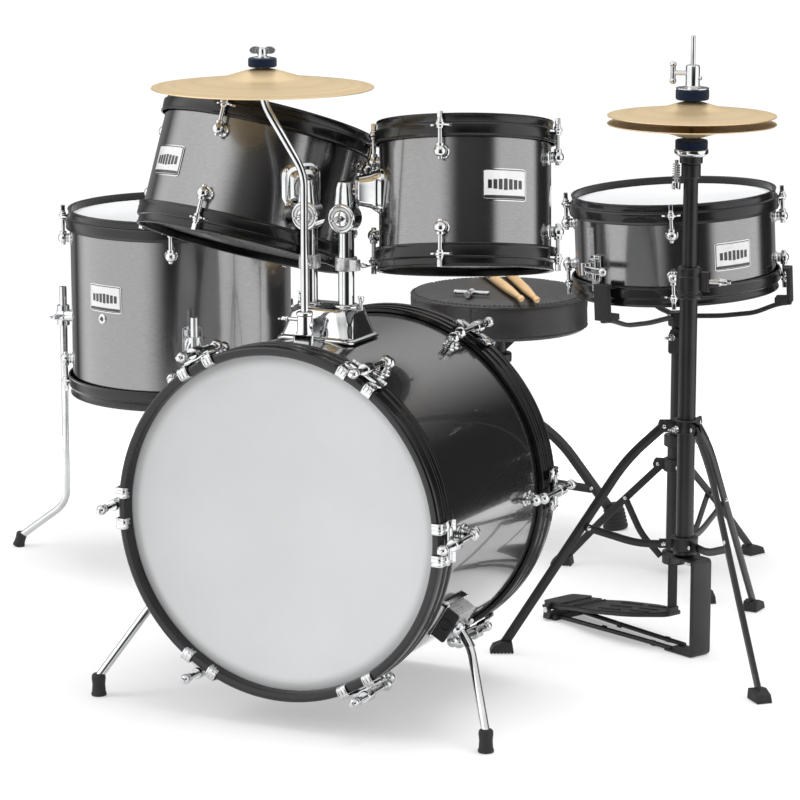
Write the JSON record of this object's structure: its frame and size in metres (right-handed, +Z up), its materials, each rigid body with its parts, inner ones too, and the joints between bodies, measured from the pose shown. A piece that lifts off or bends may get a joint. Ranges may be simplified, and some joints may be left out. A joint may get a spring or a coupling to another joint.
{
  "type": "acoustic drum kit",
  "caption": "Junior acoustic drum kit: bass drum, hung toms, floor tom, snare, hi-hat, crash cymbal, throne, sticks and key.",
  "frame": {"origin": "middle of the footprint, on the floor", "axes": "+X along the bass drum diameter towards the hi-hat, +Y along the bass drum axis towards the drummer, +Z up"},
  "size_m": [1.2348, 1.1678, 0.7845],
  "materials": {
    "wrap": "high-gloss metallic grey wrap over a thin wooden shell, fine horizontal brushing",
    "head": "smooth white film",
    "black_hoop": "gloss black enamel",
    "chrome": "polished",
    "cast_mount": "die-cast and bright plated",
    "black_steel": "satin black powder coat",
    "brass": "satin lathe-turned",
    "vinyl": "matt black vinyl over foam",
    "wood": "light maple, clear lacquer",
    "wire": "bright coiled wire"
  },
  "bodies": {
    "kit_base": {"bass_shell": "wrap", "bass_front_head": "head", "bass_rear_head": "head", "bass_front_hoop": "black_hoop", "bass_rear_hoop": "black_hoop", "mount_base": "cast_mount", "floor_tom_shell": "wrap", "floor_tom_batter_head": "head", "floor_tom_batter_hoop": "black_hoop", "floor_tom_bottom_hoop": "black_hoop", "snare_stand_tripod": "black_steel", "hihat_base_frame": "black_steel", "hihat_lower_tube": "black_steel", "throne_tripod": "black_steel"},
    "spur_right": {"spur_right": "chrome"},
    "spur_left": {"spur_left": "chrome"},
    "tom_post_left": {"tom_post_left": "chrome"},
    "tom_post_right": {"tom_post_right": "chrome"},
    "tom_left": {"tom_left_shell": "wrap", "tom_left_batter_head": "head", "tom_left_batter_hoop": "black_hoop", "tom_left_bottom_hoop": "black_hoop"},
    "tom_right": {"tom_right_shell": "wrap", "tom_right_batter_head": "head", "tom_right_batter_hoop": "black_hoop", "tom_right_bottom_hoop": "black_hoop"},
    "crash_arm": {"crash_arm": "chrome", "crash_wing_nut": "chrome"},
    "crash_cymbal": {"crash_cymbal": "brass"},
    "floor_tom_leg_a": {"floor_tom_leg_a": "chrome"},
    "floor_tom_leg_b": {"floor_tom_leg_b": "chrome"},
    "floor_tom_leg_c": {"floor_tom_leg_c": "chrome"},
    "snare_stand_upper": {"snare_stand_upper_tube": "black_steel"},
    "snare_drum": {"snare_basket": "black_steel", "snare_shell": "wrap", "snare_batter_head": "head", "snare_batter_hoop": "black_hoop", "snare_bottom_hoop": "black_hoop", "snare_wires": "wire"},
    "snare_strainer_lever": {"snare_strainer_lever": "chrome"},
    "hihat_upper": {"hihat_upper_tube": "black_steel", "hihat_bottom_cymbal": "brass"},
    "hihat_rod": {"hihat_pull_rod": "chrome", "hihat_clutch": "chrome", "hihat_top_cymbal": "brass"},
    "hihat_footboard": {"hihat_footboard": "black_steel"},
    "hihat_leg_collar": {"hihat_leg_collar": "black_steel"},
    "hihat_leg_a": {"hihat_leg_a": "black_steel"},
    "hihat_brace_a": {"hihat_brace_a": "black_steel"},
    "hihat_leg_b": {"hihat_leg_b": "black_steel"},
    "hihat_brace_b": {"hihat_brace_b": "black_steel"},
    "hihat_leg_c": {"hihat_leg_c": "black_steel"},
    "hihat_brace_c": {"hihat_brace_c": "black_steel"},
    "throne_post": {"throne_post": "black_steel", "stick_a": "wood", "stick_b": "wood", "drum_key": "chrome"},
    "throne_seat": {"throne_seat": "vinyl"}
  },
  "joints": [
    {"name": "spur_right_fold", "type": "hinge", "parent": "kit_base", "child": "spur_right", "pos_m": [0.32262, -0.43288, 0.12325], "axis": [0.8481, 0, -0.5298], "range_deg": [0, 95]},
    {"name": "spur_left_fold", "type": "hinge", "parent": "kit_base", "child": "spur_left", "pos_m": [-0.05563, -0.43288, 0.12325], "axis": [0.8481, 0, 0.5298], "range_deg": [0, 95]},
    {"name": "tom_left_swivel", "type": "hinge", "parent": "kit_base", "child": "tom_post_left", "pos_m": [0.1095, -0.38188, 0.53], "axis": [0, 0, 1], "range_deg": [0, 15]},
    {"name": "tom_left_tilt", "type": "hinge", "parent": "tom_post_left", "child": "tom_left", "pos_m": [0.1095, -0.38188, 0.614], "axis": [-0.798, 0.6026, 0], "range_deg": [-4, 6]},
    {"name": "tom_right_swivel", "type": "hinge", "parent": "kit_base", "child": "tom_post_right", "pos_m": [0.1575, -0.38188, 0.53], "axis": [0, 0, 1], "range_deg": [-15, 0]},
    {"name": "tom_right_tilt", "type": "hinge", "parent": "tom_post_right", "child": "tom_right", "pos_m": [0.1575, -0.38188, 0.614], "axis": [0.8669, 0.4985, 0], "range_deg": [-4, 6]},
    {"name": "crash_arm_swivel", "type": "hinge", "parent": "kit_base", "child": "crash_arm", "pos_m": [0.1315, -0.43688, 0.47], "axis": [0, 0, 1], "range_deg": [-20, 20]},
    {"name": "crash_cymbal_swing", "type": "hinge", "parent": "crash_arm", "child": "crash_cymbal", "pos_m": [0.0895, -0.45688, 0.76], "axis": [-0.8378, 0.5459, 0], "range_deg": [-6, 6]},
    {"name": "floor_tom_leg_a_slide", "type": "slide", "parent": "kit_base", "child": "floor_tom_leg_a", "axis": [0, 0, 1], "range_m": [0, 0.05]},
    {"name": "floor_tom_leg_b_slide", "type": "slide", "parent": "kit_base", "child": "floor_tom_leg_b", "axis": [0, 0, 1], "range_m": [0, 0.05]},
    {"name": "floor_tom_leg_c_slide", "type": "slide", "parent": "kit_base", "child": "floor_tom_leg_c", "axis": [0, 0, 1], "range_m": [0, 0.05]},
    {"name": "snare_height", "type": "slide", "parent": "kit_base", "child": "snare_stand_upper", "axis": [0, 0, 1], "range_m": [0, 0.08]},
    {"name": "snare_tilt", "type": "hinge", "parent": "snare_stand_upper", "child": "snare_drum", "pos_m": [0.2845, 0.36012, 0.332], "axis": [0, 1, 0], "range_deg": [-8, 8]},
    {"name": "snare_strainer_throw", "type": "hinge", "parent": "snare_drum", "child": "snare_strainer_lever", "pos_m": [0.20395, 0.21704, 0.444], "axis": [-0.0449, -0.02, 0.9988], "range_deg": [-70, 0]},
    {"name": "hihat_height", "type": "slide", "parent": "kit_base", "child": "hihat_upper", "axis": [0, 0, 1], "range_m": [0, 0.06]},
    {"name": "hihat_rod_slide", "type": "slide", "parent": "hihat_upper", "child": "hihat_rod", "axis": [0, 0, 1], "range_m": [-0.008, 0], "stiffness_N_per_m": 700, "springref_m": 0.02},
    {"name": "hihat_pedal", "type": "hinge", "parent": "kit_base", "child": "hihat_footboard", "pos_m": [0.24013, 0.08652, 0.018], "axis": [-0.4147, -0.91, 0], "range_deg": [-3, 0]},
    {"name": "hihat_leg_fold", "type": "slide", "parent": "kit_base", "child": "hihat_leg_collar", "axis": [0, 0, 1], "range_m": [0, 0.06]},
    {"name": "hihat_leg_a_hinge", "type": "hinge", "parent": "hihat_leg_collar", "child": "hihat_leg_a", "pos_m": [0.41355, -0.01659, 0.29], "axis": [0.454, -0.891, 0], "range_deg": [0, 11]},
    {"name": "hihat_brace_a_hinge", "type": "hinge", "parent": "kit_base", "child": "hihat_brace_a", "pos_m": [0.41533, -0.01568, 0.14], "axis": [0.454, -0.891, 0], "range_deg": [-31, 0]},
    {"name": "hihat_leg_b_hinge", "type": "hinge", "parent": "hihat_leg_collar", "child": "hihat_leg_b", "pos_m": [0.4583, -0.02368, 0.29], "axis": [0.7071, 0.7071, 0], "range_deg": [0, 11]},
    {"name": "hihat_brace_b_hinge", "type": "hinge", "parent": "kit_base", "child": "hihat_brace_b", "pos_m": [0.45688, -0.02226, 0.14], "axis": [0.7071, 0.7071, 0], "range_deg": [-31, 0]},
    {"name": "hihat_leg_c_hinge", "type": "hinge", "parent": "hihat_leg_collar", "child": "hihat_leg_c", "pos_m": [0.43996, 0.02408, 0.29], "axis": [-0.9986, 0.0523, 0], "range_deg": [0, 11]},
    {"name": "hihat_brace_c_hinge", "type": "hinge", "parent": "kit_base", "child": "hihat_brace_c", "pos_m": [0.43986, 0.02209, 0.14], "axis": [-0.9986, 0.0523, 0], "range_deg": [-31, 0]},
    {"name": "throne_height", "type": "slide", "parent": "kit_base", "child": "throne_post", "axis": [0, 0, 1], "range_m": [0, 0.05]},
    {"name": "throne_seat_spin", "type": "hinge", "parent": "throne_post", "child": "throne_seat", "pos_m": [-0.0063, 0.41392, 0.31], "axis": [0, 0, 1], "continuous": true}
  ],
  "couplings": [
    {"joint": "hihat_pedal", "follows": "hihat_rod_slide", "rad_per_m": 5},
    {"joint": "hihat_leg_a_hinge", "follows": "hihat_leg_fold", "rad_per_m": 2.9089},
    {"joint": "hihat_brace_a_hinge", "follows": "hihat_leg_fold", "rad_per_m": -8.5812},
    {"joint": "hihat_leg_b_hinge", "follows": "hihat_leg_fold", "rad_per_m": 2.9089},
    {"joint": "hihat_brace_b_hinge", "follows": "hihat_leg_fold", "rad_per_m": -8.5812},
    {"joint": "hihat_leg_c_hinge", "follows": "hihat_leg_fold", "rad_per_m": 2.9089},
    {"joint": "hihat_brace_c_hinge", "follows": "hihat_leg_fold", "rad_per_m": -8.5812}
  ]
}
